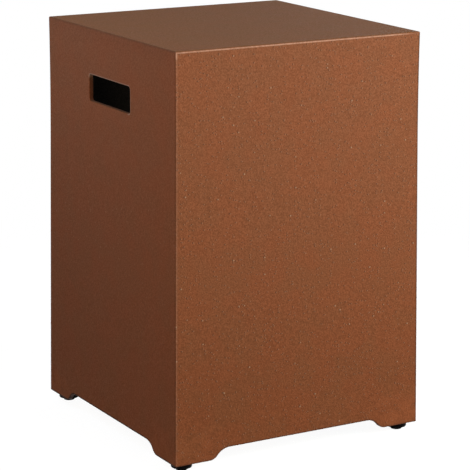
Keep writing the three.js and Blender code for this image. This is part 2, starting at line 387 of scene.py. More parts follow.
cover = {
    "lean": 0.0071,           # of each wall, from bottom to top
    "widestAt": 0.0016,       # height above the leg's bottom at which the walls have the frame's width
    "flare": 0.00165,         # of the outer face, outwards at the top
    "flareHeight": 0.170,
    "flareRings": 6,
    "lastRing": 1.01,         # times edgeRadius: depth of the ring just under the rounding of the top
    "wall": 0.0068,
    "topThickness": 0.014,
    "edgeRadius": 0.0017,     # of the uprights and around the top
    "edgeSteps": 6,
    "innerCornerRadius": 0.014,
    "innerTopRadius": 0.012,
    "innerSteps": 12,
    "slotWidth": 0.128,
    "slotHeight": 0.039,
    "slotCornerRadius": 0.005,
    "slotCornerSteps": 8,
    "slotMiddle": 0.5075,     # height of the hand-holds above the floor
    "legWidth": 0.0565,
    "archHeight": 0.0153,
    "rampAngle": math.radians(47),
    "toeRadius": 0.014,
    "toeSteps": 8,
    "coveRadius": 0.022,
    "coveSteps": 10,
    "outlineSteps": 4,        # points of the finish's outline on each rounding
    "outerEase": (0.0012, 4),     # radius, steps
    "innerEase": (0.0007, 2),
    "flatWithin": math.radians(0.05),     # faces off the outer walls that turn by less are joined
    "highlightFrom": (0.0006, 0.0015),     # depths between which the painted highlight under the table top sets in
    "wearTo": (0.0031, 0.0024),       # where it has faded out, and where it starts to
    "edgeLightShadeWidth": 0.0038,     # of the painted highlight and painted shade lines beside an edge
    "overrun": 0.020,
}
coverLow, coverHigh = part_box("cover_shell")


def straightWidth(z):
    # Between the outer faces of opposite walls at a height, without their flare
    slope = 2 * cover["lean"] / (coverHigh.z - coverLow.z)
    return coverHigh.x - coverLow.x - slope * (z - coverLow.z - cover["widestAt"])


def flareAt(z):
    share = max(1 - (coverHigh.z - z) / cover["flareHeight"], 0)
    return cover["flare"] * share ** 2


def toSharp(radius):
    # From the start of a rounding in the arch's outline to the sharp corner that it rounds
    return radius * math.tan(cover["rampAngle"] / 2)


def archOutline():
    # Where the outline from the flat of the arch to the flat of the leg starts and ends,
    # and the points between, as shares of its length and height
    toe, cove, height = cover["toeRadius"], cover["coveRadius"], cover["archHeight"]
    angle, steps = cover["rampAngle"], cover["outlineSteps"]
    last = coverHigh.x - cover["legWidth"]
    first = last - toSharp(toe + cove) - height / math.tan(angle)
    turns = [angle * (step + 1) / steps for step in range(steps)]
    points = [(first + cove * math.sin(turn), height - cove * (1 - math.cos(turn))) for turn in turns]
    points += [(last - toe * math.sin(turn), toe * (1 - math.cos(turn))) for turn in reversed(turns)]
    return first, last, [((u - first) / (last - first), rise / height) for u, rise in points]


# Materials

def startMaterial(name, sockets):
    material = bpy.data.materials.new(name)
    material.use_nodes = True
    tree = material.node_tree
    shader = tree.nodes["Principled BSDF"]
    for label, value in sockets.items():
        shader.inputs[label].default_value = value
    place = addNode(tree, "TexCoord").outputs["Object"]
    return material, tree, shader.inputs, place


def addBump(tree, shader, height, depth):
    bump = addNode(tree, "Bump", {"Height": height, "Distance": depth, "Strength": 1})
    tree.links.new(bump.outputs[0], shader["Normal"])


# Values named with a capital letter go to the shared effects. The cover's colour turns lighter and
# cooler from its low colours to its high ones, as painted light on the upper walls, and its front and rear
# show more texture than the sides, as painted light and shade of light raking across them.
castFinish = {
    "low": {"Scale": 27, "First": (0.262, 0.0761, 0.0261, 1), "Second": (0.246, 0.0780, 0.0274, 1)},
    "high": {"Scale": 27, "First": (0.316, 0.1008, 0.0410, 1), "Second": (0.301, 0.1022, 0.0430, 1)},
    # heights between which the colour turns lighter upwards, painted light on the upper walls
    "lighterUpFrom": (0.02, 0.60),
    "topDustAndShade": {"Scale": 30, "Least": 0.85, "Most": 0.45},
    "topDustAndShadeColour": (0.212, 0.080, 0.004, 1),  # dust and painted shade that darken the table top
    "mottle": {"Scale": 290, "Low": 0.93, "High": 1.07},
    "grain": {"Scale": 520, "Low": 0.88, "High": 1.12},
    "frontal": (0.3, 0.9),               # from the sides and the top to the front and the rear
    "contrast": (0.7, 1.15),             # of the texture, painted stronger on the front and rear as the light and shade of raking light
    "specks": [                          # cells, how strong the painted highlights of the specks and their painted shadows are
        ({"Scale": 120, "Share": 0.12, "Size": 0.19}, 1.0, 0.8),
        ({"Scale": 220, "Share": 0.55, "Size": 0.28}, 0.38, 0.75),
    ],
    "speckShift": (0.0016, 0, -0.0002),  # from the painted shadow beside a speck to its painted highlight
    "speckSides": 0.3,                   # how strong the specks are away from front and rear
    "pitShadeColour": (0.10, 0.040, 0.022, 1),
    "speckHighlightColour": (0.46, 0.24, 0.14, 1),
    # painted highlight along the front's top edge and up its left corner
    "worn": {"Scale": 260, "Gaps": 0.6},
    "edgeHighlightColour": (0.72, 0.38, 0.26, 1),
    "highlightMost": 0.9,
    "highlightCorner": (0.580, 0.588),        # heights between which the line up the corner sets in
    "wornUpright": 0.22,
    "highlightEnds": (0.155, 0.192),          # where the painted highlight fades towards its right end
    "highlightEnd": 0.15,
    # painted shade along the edges
    "edgeShade": {"Scale": 200, "Gaps": 0.7, "Most": 0.75},
    "edgeShadeColour": (0.030, 0.015, 0.010, 1),
    "lowShadeFrom": (0.0017, 0.0031),     # height above the bottom outline, for the painted shade along it
    "lowShadeMost": (0.35, 0.85),         # on front and rear, and on the sides
    "patches": {"Scale": 60, "Low": 0.2, "High": 1.0},
    "rubbed": (0.46, 0.135, 0.050, 1),   # the lower ends of the legs
    "rubbedFrom": (0.012, 0.075),
    "rubbedMost": 0.36,
    "rubbedRamp": (0.3, 1),              # where on the ramp from arch to leg it sets in
    "rubbedArch": 0.3,                   # and how strong it is beside the arch
    "rim": {"Scale": 200, "Gaps": 0.7, "Most": 0.65},
    "wornRim": (0.62, 0.42, 0.31, 1),
    "rimWidth": (0.00072, 0.0024),       # full up to the first, gone at the second
    "rimUpper": (0.3, 0.45),             # shares of the hand-hold's height, from its middle
    "rimFront": (0.48, 0.42),            # shares of its width
    # the raw inside, near black as painted shade for the dark inside of the cover
    "bare": (0.024, 0.022, 0.020, 1),
    "bareFrom": (1.00, 1.16),            # where the finish gives way on the way through the wall
    "ragged": 0.2,                       # how far the mottle frays that line
    "shadedFrom": (0.05, 0.30),          # where it darkens on that way
    "shaded": 0.45,
    "shade": (0.085, 0.058, 0.054, 1),
    "gloss": 0.18,
    "levels": (0.9, 1.1),                # of the texture, and their roughness
    "roughness": (0.86, 0.72),
    "relief": 0.0006,
}


def lighterUpColour(tree, place, axes):
    look = castFinish
    low, high = (useGroup(tree, "colourDrift", place, look[end]) for end in ("low", "high"))
    # painted light: lighter and cooler colours higher up the walls
    start, end = look["lighterUpFrom"]
    lighterUp = addNode(tree, "MapRange", {0: axes["Z"], 1: start, 2: end}).outputs[0]
    colour = blendColours(tree, lighterUp, low, high)
    # dust and painted shade darken the table top
    return blendColours(tree, useGroup(tree, "upFacingPatches", place, look["topDustAndShade"]), colour, look["topDustAndShadeColour"])


def castTexture(tree, mottle, grain, frontal):
    # Mottle and grain together, as levels about 1, with a contrast painted stronger on the front and rear
    # as the light and shade of raking light
    contrast = stretch(tree, frontal, *castFinish["frontal"], *castFinish["contrast"])
    offset = solve(tree, "SUBTRACT", multiply(tree, mottle, grain), 1)
    return solve(tree, "MULTIPLY_ADD", offset, contrast, 1)


def addSpecks(tree, place, frontal, colour):
    # Painted highlights on the rims of pits, each with a painted shadow beside it
    look = castFinish
    strength = stretch(tree, frontal, *look["frontal"], look["speckSides"], 1)
    beside = addNode(tree, "VectorMath", {0: place, 1: look["speckShift"]}, operation="ADD").outputs[0]
    for cells, light, dark in look["specks"]:
        for at, most, shade in ((beside, dark, "pitShadeColour"), (place, light, "speckHighlightColour")):
            spots = useGroup(tree, "sparsePits", at, cells)
            mask = multiply(tree, spots, multiply(tree, strength, most))
            colour = blendColours(tree, mask, colour, look[shade])
    return colour


def addEdgeMarks(tree, place, axes, colour):
    # A painted highlight along the front's top and up its left corner, and painted shade beside the other
    # edges
    look = castFinish
    upright = stretch(tree, axes["Z"], *look["highlightCorner"], look["wornUpright"], 1)
    alongTop = stretch(tree, axes["X"], *look["highlightEnds"], 1, look["highlightEnd"])
    highlightMost = multiply(tree, multiply(tree, upright, alongTop), look["highlightMost"])
    worn = {**look["worn"], "Most": highlightMost}
    for name, wear, shade in (("worn", worn, "edgeHighlightColour"), ("edgeShade", look["edgeShade"], "edgeShadeColour")):
        edge = addNode(tree, "Attribute", attribute_name=name).outputs["Fac"]
        mask = useGroup(tree, "edgeWearLightShade", place, {"Edge": edge, **wear})
        colour = blendColours(tree, mask, colour, look[shade])
    return colour


def aboveOutline(tree, axes):
    # Height above the bottom outline of a wall, whose arch is drawn as a curve
    first, last, points = archOutline()
    ends = [solve(tree, "ABSOLUTE", axes[axis]) for axis in "XY"]
    beside = solve(tree, "MINIMUM", *ends)
    share = addNode(tree, "MapRange", {0: beside, 1: first, 2: last}).outputs[0]
    curve = addNode(tree, "FloatCurve", {"Value": share})
    drawn = curve.mapping.curves[0].points
    drawn[0].location = (0, 1)
    drawn[1].location = (1, 0)
    for point in points:
        drawn.new(*point)
    curve.mapping.update()
    rise = multiply(tree, curve.outputs[0], cover["archHeight"])
    isSide = solve(tree, "GREATER_THAN", *ends)
    height = solve(tree, "SUBTRACT", solve(tree, "SUBTRACT", axes["Z"], coverLow.z), rise)
    return height, share, isSide


def addLowMarks(tree, place, axes, colour):
    # Legs rubbed pale at their lower ends, and painted shade along the bottom outline
    look = castFinish
    above, onLeg, isSide = aboveOutline(tree, axes)
    rubbed = stretch(tree, above, *look["rubbedFrom"], 1, 0)
    onRamp = stretch(tree, onLeg, *look["rubbedRamp"], look["rubbedArch"], 1)
    rubbed = multiply(tree, multiply(tree, rubbed, onRamp), look["rubbedMost"])
    patches = useGroup(tree, "fineGrain", place, look["patches"])
    colour = blendColours(tree, multiply(tree, rubbed, patches), colour, look["rubbed"])
    # painted shade along the bottom outline
    lowestShade = stretch(tree, above, *look["lowShadeFrom"], 1, 0)
    dark = stretch(tree, isSide, 0, 1, *look["lowShadeMost"])
    return blendColours(tree, multiply(tree, lowestShade, dark), colour, look["edgeShadeColour"])


def addHandHoldRim(tree, place, axes, colour):
    # A pale line along the upper edge of a hand-hold and its front end
    look = castFinish
    radius = cover["slotCornerRadius"]
    height, width = cover["slotHeight"], cover["slotWidth"]
    above = solve(tree, "SUBTRACT", axes["Z"], cover["slotMiddle"])
    beyond = []
    for value, size in ((axes["Y"], width), (above, height)):
        past = solve(tree, "SUBTRACT", solve(tree, "ABSOLUTE", value), size / 2 - radius)
        beyond.append(solve(tree, "POWER", solve(tree, "MAXIMUM", past, 0), 2))
    away = solve(tree, "SUBTRACT", solve(tree, "SQRT", solve(tree, "ADD", *beyond)), radius)
    near = stretch(tree, away, *look["rimWidth"], 1, 0)
    upper = stretch(tree, above, *(height * share for share in look["rimUpper"]), 0, 1)
    front = stretch(tree, axes["Y"], *(-width * share for share in look["rimFront"]), 1, 0)
    edge = multiply(tree, near, solve(tree, "MAXIMUM", upper, front))
    mask = useGroup(tree, "edgeWearLightShade", place, {"Edge": edge, **look["rim"]})
    return blendColours(tree, mask, colour, look["wornRim"])


def makeCastFinish():
    look = castFinish
    material, tree, shader, place = startMaterial("castFinish", {"Specular IOR Level": look["gloss"]})
    axes = addNode(tree, "SeparateXYZ", {0: place}).outputs
    normal = addNode(tree, "NewGeometry").outputs["Normal"]
    # how far a face turns to the front or rear, where texture and specks are painted stronger as raking
    # light
    frontal = solve(tree, "ABSOLUTE", addNode(tree, "SeparateXYZ", {0: normal}).outputs["Y"])
    mottle, grain = (useGroup(tree, "fineGrain", place, look[name]) for name in ("mottle", "grain"))
    texture = castTexture(tree, mottle, grain, frontal)
    colour = blendColours(tree, 1, lighterUpColour(tree, place, axes), texture, "MULTIPLY")
    colour = addSpecks(tree, place, frontal, colour)
    for addMarks in (addEdgeMarks, addLowMarks, addHandHoldRim):
        colour = addMarks(tree, place, axes, colour)
    depth = addNode(tree, "Attribute", attribute_name="depth").outputs["Fac"]
    shaded = stretch(tree, depth, *look["shadedFrom"], 0, look["shaded"])
    colour = blendColours(tree, shaded, colour, look["shade"])
    ragged = solve(tree, "ADD", depth, multiply(tree, mottle, look["ragged"]))
    # the raw inside, painted near black as shade
    bare = stretch(tree, ragged, *look["bareFrom"], 0, 1)
    bareColour = blendColours(tree, 1, look["bare"], texture, "MULTIPLY")
    colour = blendColours(tree, bare, colour, bareColour)
    tree.links.new(colour, shader["Base Color"])
    tree.links.new(stretch(tree, texture, *look["levels"], *look["roughness"]), shader["Roughness"])
    addBump(tree, shader, texture, look["relief"])
    return material


rawCast = {
    "drift": {"Scale": 110, "First": (0.020, 0.019, 0.018, 1), "Second": (0.036, 0.034, 0.031, 1)},
    "grain": {"Scale": 900, "Low": 0.8, "High": 1.25},
    "pits": {"Scale": 240, "Share": 0.35, "Size": 0.22},
    # painted shade in the pits
    "pitShadeColour": (0.008, 0.008, 0.008, 1),
    "gloss": 0.2,
    "levels": (0.8, 1.2),                # of the grain, and their roughness
    "roughness": (0.98, 0.85),
    "relief": 0.0004,
}


def makeRawCast():
    look = rawCast
    material, tree, shader, place = startMaterial("rawCast", {"Specular IOR Level": look["gloss"]})
    colour = useGroup(tree, "colourDrift", place, look["drift"])
    grain = useGroup(tree, "fineGrain", place, look["grain"])
    colour = blendColours(tree, 1, colour, grain, "MULTIPLY")
    pits = useGroup(tree, "sparsePits", place, look["pits"])
    # painted shade in the pits
    colour = blendColours(tree, pits, colour, look["pitShadeColour"])
    tree.links.new(colour, shader["Base Color"])
    tree.links.new(stretch(tree, grain, *look["levels"], *look["roughness"]), shader["Roughness"])
    addBump(tree, shader, solve(tree, "SUBTRACT", grain, pits), look["relief"])
    return material


zincSteel = {
    "drift": {"Scale": 220, "First": (0.58, 0.60, 0.64, 1), "Second": (0.66, 0.63, 0.55, 1)},
    "upFacingPatches": {"Scale": 300, "Least": 0.2, "Most": 0.35},
    "dustColour": (0.20, 0.18, 0.16, 1),
    "dustyMetal": 0.55,                  # how metallic it is where the dust is thickest
    "marks": {"Scale": 700, "Low": 0.28, "High": 0.46},
    "marksAlong": (1, 1, 9),             # turning marks, finer along the axis
    "brushed": 0.2,
    "relief": 0.00002,
}


def makeZincSteel():
    look = zincSteel
    material, tree, shader, place = startMaterial("zincSteel", {"Anisotropic": look["brushed"]})
    upFacingPatches = useGroup(tree, "upFacingPatches", place, look["upFacingPatches"])
    colour = useGroup(tree, "colourDrift", place, look["drift"])
    tree.links.new(blendColours(tree, upFacingPatches, colour, look["dustColour"]), shader["Base Color"])
    metal = stretch(tree, upFacingPatches, 0, look["upFacingPatches"]["Most"], 1, look["dustyMetal"])
    tree.links.new(metal, shader["Metallic"])
    lathe = addNode(tree, "Mapping", {0: place, 3: look["marksAlong"]}).outputs[0]
    marks = useGroup(tree, "fineGrain", lathe, look["marks"])
    tree.links.new(marks, shader["Roughness"])
    addBump(tree, shader, marks, look["relief"])
    return material


blackPlastic = {
    "drift": {"Scale": 260, "First": (0.0022, 0.0022, 0.0023, 1), "Second": (0.0050, 0.0049, 0.0047, 1)},
    "upFacingPatches": {"Scale": 240, "Least": 0.2, "Most": 0.12},
    "dustColour": (0.060, 0.050, 0.042, 1),
    "grain": {"Scale": 2600, "Low": 0.42, "High": 0.58},
    "gloss": 0.03,
    "relief": 0.00003,
}

blackRubber = {
    "drift": {"Scale": 330, "First": (0.0035, 0.0035, 0.0035, 1), "Second": (0.0085, 0.0080, 0.0075, 1)},
    "upFacingPatches": {"Scale": 420, "Least": 0.2, "Most": 0.25},
    "dustColour": (0.060, 0.052, 0.044, 1),
    "grain": {"Scale": 1900, "Low": 0.78, "High": 0.94},
    "gloss": 0.03,
    "relief": 0.00005,
}


def makeBlackFinish(name, look):
    material, tree, shader, place = startMaterial(name, {"Specular IOR Level": look["gloss"]})
    upFacingPatches = useGroup(tree, "upFacingPatches", place, look["upFacingPatches"])
    colour = useGroup(tree, "colourDrift", place, look["drift"])
    tree.links.new(blendColours(tree, upFacingPatches, colour, look["dustColour"]), shader["Base Color"])
    grain = useGroup(tree, "fineGrain", place, look["grain"])
    tree.links.new(grain, shader["Roughness"])
    addBump(tree, shader, grain, look["relief"])
    return material


finishes = {
    "cast_finish": makeCastFinish(),
    "raw_cast": makeRawCast(),
    "zinc_steel": makeZincSteel(),
    "black_plastic": makeBlackFinish("blackPlastic", blackPlastic),
    "black_rubber": makeBlackFinish("blackRubber", blackRubber),
}
print("materials made")


def handOver(piece, name, node, body, slot):
    piece.name = piece.data.name = name
    piece.data.materials.clear()
    piece.data.materials.append(finishes[slot])
    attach(piece, body)
    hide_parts(node)


# Cover: one casting, hollow from below

def isUpright(edge):
    return abs(along(edge).z) > aligned


def draftedBlock(name, inset, heights, uprightRadius, topRadius, steps):
    # A block that follows the straight outer faces of the walls, set in by a distance
    low, high = heights
    lowWidth, highWidth = (straightWidth(z) - 2 * inset for z in heights)
    block = addBlock(name, (0, 0, (low + high) / 2), (lowWidth, lowWidth, high - low))
    edit(block)
    pick(block, "FACE", lambda face: face.normal.z > aligned)
    shrink = highWidth / lowWidth
    bpy.ops.transform.resize(value=(shrink, shrink, 1))

    def isAroundTop(edge):
        return min(v.co.z for v in edge.verts) > high - topRadius

    if uprightRadius == topRadius:
        pick(block, "EDGE", lambda edge: isUpright(edge) or isAroundTop(edge))
        easeEdges(topRadius, steps)
    else:
        pick(block, "EDGE", isUpright)
        easeEdges(uprightRadius, steps)
        pick(block, "EDGE", isAroundTop)
        easeEdges(topRadius, steps)
    stopEditing()
    return block


def lineEdges(shell):
    # Lines beside the uprights and around the table top, where the painted highlights and shade of the
    # edges end
    slope = cover["lean"] / (coverHigh.z - coverLow.z)
    beside = straightWidth(coverLow.z) / 2 - cover["edgeLightShadeWidth"]
    edit(shell)
    for side in ((1, 0), (-1, 0), (0, 1), (0, -1)):
        across = Vector((*side, 0))
        bpy.ops.mesh.select_all(action="SELECT")
        bpy.ops.mesh.bisect(
            plane_co=across * beside + Vector((0, 0, coverLow.z)), plane_no=across + Vector((0, 0, slope)))
    stopEditing()


def flareWalls(shell):
    top = coverHigh.z
    rings = cover["flareRings"]
    heights = [top - cover["flareHeight"] * (1 - i / rings) for i in range(rings)]
    lastDepth = cover["edgeRadius"] * cover["lastRing"]
    heights += [top - depth for depth in (*cover["wearTo"], lastDepth)]
    edit(shell)
    for height in heights:
        bpy.ops.mesh.select_all(action="SELECT")
        bpy.ops.mesh.bisect(plane_co=(0, 0, height), plane_no=(0, 0, 1))
    for height in heights[1:]:
        isLast = height == heights[-1]
        grow = 1 + 2 * flareAt(height) / straightWidth(height)
        pick(shell, "VERT", lambda v: abs(v.co.z - height) < samePlace or (isLast and v.co.z > height))
        bpy.ops.transform.resize(value=(grow, grow, 1), center_override=(0, 0, height))
    stopEditing()


def archTool(toeEnd, turned):
    # Cuts the arches of two opposite walls, whose ramps end at toeEnd before they are rounded
    run = 1 / math.tan(cover["rampAngle"])
    low = coverLow.z - cover["overrun"]
    high = coverLow.z + cover["archHeight"]
    lowHalf = toeEnd + cover["overrun"] * run
    highHalf = toeEnd - cover["archHeight"] * run
    depth = straightWidth(coverLow.z) + cover["overrun"]
    tool = addBlock("archTool", (0, 0, (low + high) / 2), (2 * lowHalf, depth, high - low))
    edit(tool)
    pick(tool, "FACE", lambda face: face.normal.z > aligned)
    bpy.ops.transform.resize(value=(highHalf / lowHalf, 1, 1))
    pick(tool, "EDGE", lambda edge: abs(along(edge).y) > aligned and middle(edge).z > coverLow.z)
    easeEdges(toSharp(cover["coveRadius"]), cover["coveSteps"])
    stopEditing()
    if turned:
        tool.rotation_euler.z = math.pi / 2
        applyPlace(tool)
    return tool


def slotTool():
    size = (straightWidth(coverLow.z) + cover["overrun"], cover["slotWidth"], cover["slotHeight"])
    tool = addBlock("slotTool", (0, 0, cover["slotMiddle"]), size)
    edit(tool)
    pick(tool, "EDGE", lambda edge: abs(along(edge).x) > aligned)
    easeEdges(cover["slotCornerRadius"], cover["slotCornerSteps"])
    stopEditing()
    return tool


def wallNormal(place):
    if abs(place.x) > abs(place.y):
        return Vector((math.copysign(1, place.x), 0, 0))
    return Vector((0, math.copysign(1, place.y), 0))


def wallSide(face):
    # 1 for the outer face of a wall, -1 for its inner face and 0 for any other
    level, outward = 0.1, 0.6
    if abs(face.normal.z) >= level:
        return 0
    turn = face.normal.to_2d().dot(face.calc_center_median().to_2d().normalized())
    return (turn > outward) - (turn < -outward)


def isOutline(edge, side):
    # Whether an edge borders that side of a wall, at a hand-hold, an arch or a leg
    walls = [wallSide(face) == side for face in edge.link_faces]
    slotTop = cover["slotMiddle"] + cover["slotHeight"] / 2
    return any(walls) and not all(walls) and middle(edge).z < slotTop + cover["overrun"]


# How dark the painted shade along each edge is: the two faces that meet there, by axis and side. The
# front's upper edge gets a painted highlight instead, and its left edge a painted highlight on the front
# and painted shade on the side.
edgeShadeShares = {
    ("x-", "z"): 0.45, ("x+", "z"): 0.8, ("y+", "z"): 1,
    ("x-", "y-"): 0.3, ("x-", "y+"): 0.8, ("x+", "y-"): 0.8, ("x+", "y+"): 0.8,
}


def ramp(value, start, end):
    return min(max((value - start) / (end - start), 0), 1)


def markDepthAndEdges(shell):
    # How deep each point lies in its wall, and how strong its painted edge highlight and painted edge
    # shade are, for the finish
    layers = {}
    for name in ("depth", "worn", "edgeShade"):
        layers[name] = shell.data.attributes.new(name, "FLOAT", "POINT")
    for i, vert in enumerate(shell.data.vertices):
        x, y, z = vert.co
        half = straightWidth(z) / 2 + flareAt(z)
        gaps = {
            "x+" if x > 0 else "x-": half - abs(x),
            "y+" if y > 0 else "y-": half - abs(y),
            "z": coverHigh.z - z,
        }
        nearest, beside = sorted(gaps, key=gaps.get)[:2]
        pair = tuple(sorted((nearest, beside)))
        share = ramp(gaps[beside], cover["edgeLightShadeWidth"], cover["edgeRadius"])
        worn = edgeShade = 0
        if pair == ("y-", "z"):
            worn = ramp(gaps["z"], *cover["highlightFrom"]) * ramp(gaps["z"], *cover["wearTo"])
        elif (nearest, beside) == ("y-", "x-"):
            worn = share
        else:
            edgeShade = edgeShadeShares[pair] * share
        layers["depth"].data[i].value = ramp(gaps[nearest], 0, cover["wall"])
        layers["worn"].data[i].value = worn
        layers["edgeShade"].data[i].value = edgeShade


def modelCover():
    radius = cover["edgeRadius"]
    shell = draftedBlock("cover_casting", 0, (coverLow.z, coverHigh.z), radius, radius, cover["edgeSteps"])
    lineEdges(shell)
    flareWalls(shell)

    heights = (coverLow.z - cover["overrun"], coverHigh.z - cover["topThickness"])
    core = draftedBlock(
        "coreTool", cover["wall"], heights,
        cover["innerCornerRadius"], cover["innerTopRadius"], cover["innerSteps"])
    combine(shell, core, "DIFFERENCE")
    combine(shell, slotTool(), "DIFFERENCE")
    toeEnd = straightWidth(coverLow.z) / 2 - cover["legWidth"] - toSharp(cover["toeRadius"])
    for turned in (False, True):
        combine(shell, archTool(toeEnd, turned), "DIFFERENCE")

    edit(shell)
    pick(shell, "FACE", lambda face: wallSide(face) != 1 and face.normal.z < aligned)
    bpy.ops.mesh.dissolve_limited(angle_limit=cover["flatWithin"])

    def isToe(edge):
        place = middle(edge)
        beside = min(abs(place.x), abs(place.y))
        isAcross = abs(along(edge).dot(wallNormal(place))) > aligned
        return isAcross and abs(place.z - coverLow.z) < samePlace and abs(beside - toeEnd) < samePlace

    toes = pick(shell, "EDGE", isToe)
    easeEdges(toSharp(cover["toeRadius"]), cover["toeSteps"])
    outer = pick(shell, "EDGE", lambda edge: isOutline(edge, 1))
    easeEdges(*cover["outerEase"], clamp_overlap=False)
    inner = pick(shell, "EDGE", lambda edge: isOutline(edge, -1))
    easeEdges(*cover["innerEase"], clamp_overlap=False)
    stopEditing()

    markDepthAndEdges(shell)
    finishSurface(shell)
    print("cover modelled:", toes, "toes,", outer, "outer and", inner, "inner outline edges,",
          len(shell.data.polygons), "faces")
    return shell


handOver(modelCover(), "cover_casting", "cover_shell", "root", "cast_finish")


# Turned pieces: rings of radius and height, each drawn out of the one before it

def turnRings(name, rings, steps, tube):
    radius, height = rings[0]
    selectNothing()
    bpy.ops.mesh.primitive_circle_add(vertices=steps, radius=radius, location=(0, 0, height))
    piece = named(name)
    applyPlace(piece)
    edit(piece)
    bpy.ops.mesh.select_all(action="SELECT")
    for nextRadius, nextHeight in rings[1:]:
        bpy.ops.mesh.extrude_edges_move(TRANSFORM_OT_translate={"value": (0, 0, nextHeight - height)})
        grow = nextRadius / radius
        bpy.ops.transform.resize(value=(grow, grow, 1), center_override=(0, 0, nextHeight))
        radius, height = nextRadius, nextHeight
    pick(piece, "EDGE", lambda edge: edge.is_boundary)
    if tube:
        bpy.ops.mesh.bridge_edge_loops()
    else:
        bpy.ops.mesh.fill_holes(sides=0)
    turnFacesOut()
    stopEditing()
    return piece


def easeRings(piece, rings, offset, steps):
    def isOn(edge, radius, height):
        return all(
            abs(v.co.z - height) < samePlace and abs(v.co.to_2d().length - radius) < samePlace
            for v in edge.verts)

    edit(piece)
    pick(piece, "EDGE", lambda edge: any(isOn(edge, *ring) for ring in rings))
    easeEdges(offset, steps)
    stopEditing()


def toCorners(piece, place, label, body, slot):
    piece.location = place
    applyPlace(piece)
    copies = [piece]
    for quarter in (1, 2, 3):
        copied = piece.copy()
        copied.data = piece.data.copy()
        bpy.context.scene.collection.objects.link(copied)
        copied.rotation_euler.z = quarter * math.pi / 2
        applyPlace(copied)
        copies.append(copied)
    for corner, copied in zip(cornerNames, copies):
        cornerBody = body.replace("CORNER", corner)
        handOver(copied, label + "_piece_" + corner, label + "_" + corner, cornerBody, slot)


discLow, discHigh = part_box("foot_disc_front_left")
footPlace = (discLow.x + discHigh.x) / 2


# Disc of each foot, with a hexagonal pocket for the head of the stud and a ribbed groove underneath

disc = {
    "diameter": 0.030,
    "height": 0.008,
    "lowerEase": (0.0012, 5),     # radius, steps
    "upperEase": (0.0008, 4),
    "edgeEase": (0.0002, 2),      # of the hole and the groove
    "hole": 0.0066,
    "floor": 0.0029,
    "pocketAcross": 0.0136,
    "pocketOverrun": 0.002,
    "grooveFrom": 0.0196,
    "grooveTo": 0.0264,
    "grooveDepth": 0.0011,
    "ribs": 12,
    "ribSteps": 2,
    "ribClear": 0.0002,           # how far the ribs stay above the underside
    "steps": 96,
}


def hexagonBlock(name, across, low, high):
    selectNothing()
    bpy.ops.mesh.primitive_cylinder_add(
        vertices=6, radius=across / 2 / math.cos(math.pi / 6), depth=high - low,
        location=(0, 0, (low + high) / 2))
    block = named(name)
    applyPlace(block)
    return block


def modelDisc():
    radius = disc["diameter"] / 2
    height = disc["height"]
    hole = disc["hole"] / 2
    inner, outer = disc["grooveFrom"] / 2, disc["grooveTo"] / 2
    deep = disc["grooveDepth"]
    piece = turnRings("disc", [
        (hole, height), (hole, 0), (inner, 0), (inner, deep), (outer, deep), (outer, 0), (radius, 0),
        (radius, height)], disc["steps"], tube=True)
    easeRings(piece, [(radius, 0)], *disc["lowerEase"])
    easeRings(piece, [(radius, height)], *disc["upperEase"])
    easeRings(piece, [(inner, 0), (outer, 0), (hole, 0)], *disc["edgeEase"])
    edit(piece)
    spacing = disc["steps"] // disc["ribs"]

    def isRib(face):
        place = face.calc_center_median()
        if abs(place.z - deep) > samePlace or not inner < place.to_2d().length < outer:
            return False
        step = int((math.atan2(place.y, place.x) / (2 * math.pi) % 1) * disc["steps"])
        return step % spacing < disc["ribSteps"]

    ribs = pick(piece, "FACE", isRib)
    bpy.ops.mesh.extrude_region_move(TRANSFORM_OT_translate={"value": (0, 0, disc["ribClear"] - deep)})
    stopEditing()
    top = height + disc["pocketOverrun"]
    combine(piece, hexagonBlock("pocketTool", disc["pocketAcross"], disc["floor"], top), "DIFFERENCE")
    finishSurface(piece, smoothAngle=40)
    print("disc modelled:", ribs, "rib faces,", len(piece.data.polygons), "faces")
    return piece


toCorners(modelDisc(), (footPlace, footPlace, discLow.z), "foot_disc", "adjuster_CORNER", "black_plastic")


# Sole under each disc, with two grooves in its tread and a spigot up into the disc

sole = {
    "diameter": 0.0166,
    "height": 0.004,
    "lowerEase": (0.0009, 5),     # radius, steps
    "upperEase": (0.0003, 2),
    "waist": 0.0003,
    "waistShares": (0.45, 0.6, 0.8),      # of the height: its start, its middle and its end
    "spigotDiameter": 0.006,
    "spigotTop": 0.0072,
    "spigotEase": (0.0004, 1),
    "grooveDepth": 0.0005,
    "grooves": [(0.0022, 0.0030), (0.0046, 0.0054)],
    "centre": 0.0008,             # radius of the first ring of the tread
    "steps": 64,
}


def modelSole():
    radius = sole["diameter"] / 2
    height = sole["height"]
    spigot = sole["spigotDiameter"] / 2
    start, waist, end = (height * share for share in sole["waistShares"])
    tread = [(sole["centre"], 0)]
    for inner, outer in sole["grooves"]:
        tread += [(inner, 0), (inner, sole["grooveDepth"]), (outer, sole["grooveDepth"]), (outer, 0)]
    piece = turnRings("sole", [
        *tread, (radius, 0), (radius, start), (radius - sole["waist"], waist), (radius, end),
        (radius, height), (spigot, height), (spigot, sole["spigotTop"])], sole["steps"], tube=False)
    easeRings(piece, [(radius, 0)], *sole["lowerEase"])
    easeRings(piece, [(radius, height)], *sole["upperEase"])
    easeRings(piece, [(spigot, sole["spigotTop"])], *sole["spigotEase"])
    finishSurface(piece, smoothAngle=40)
    print("sole modelled:", len(piece.data.polygons), "faces")
    return piece


toCorners(modelSole(), (footPlace, footPlace, 0), "foot_sole", "foot_CORNER", "black_rubber")


# Threads: a ridge with a flat crest, wound up the Z axis

thread = {
    "pitch": 0.00125,
    "rootWidth": 0.00094,
    "crestWidth": 0.00018,
    "sunk": 0.0001,               # how far the root of a ridge lies inside its stud or insert
    "mergeWithin": 0.000001,
    "steps": 32,
}


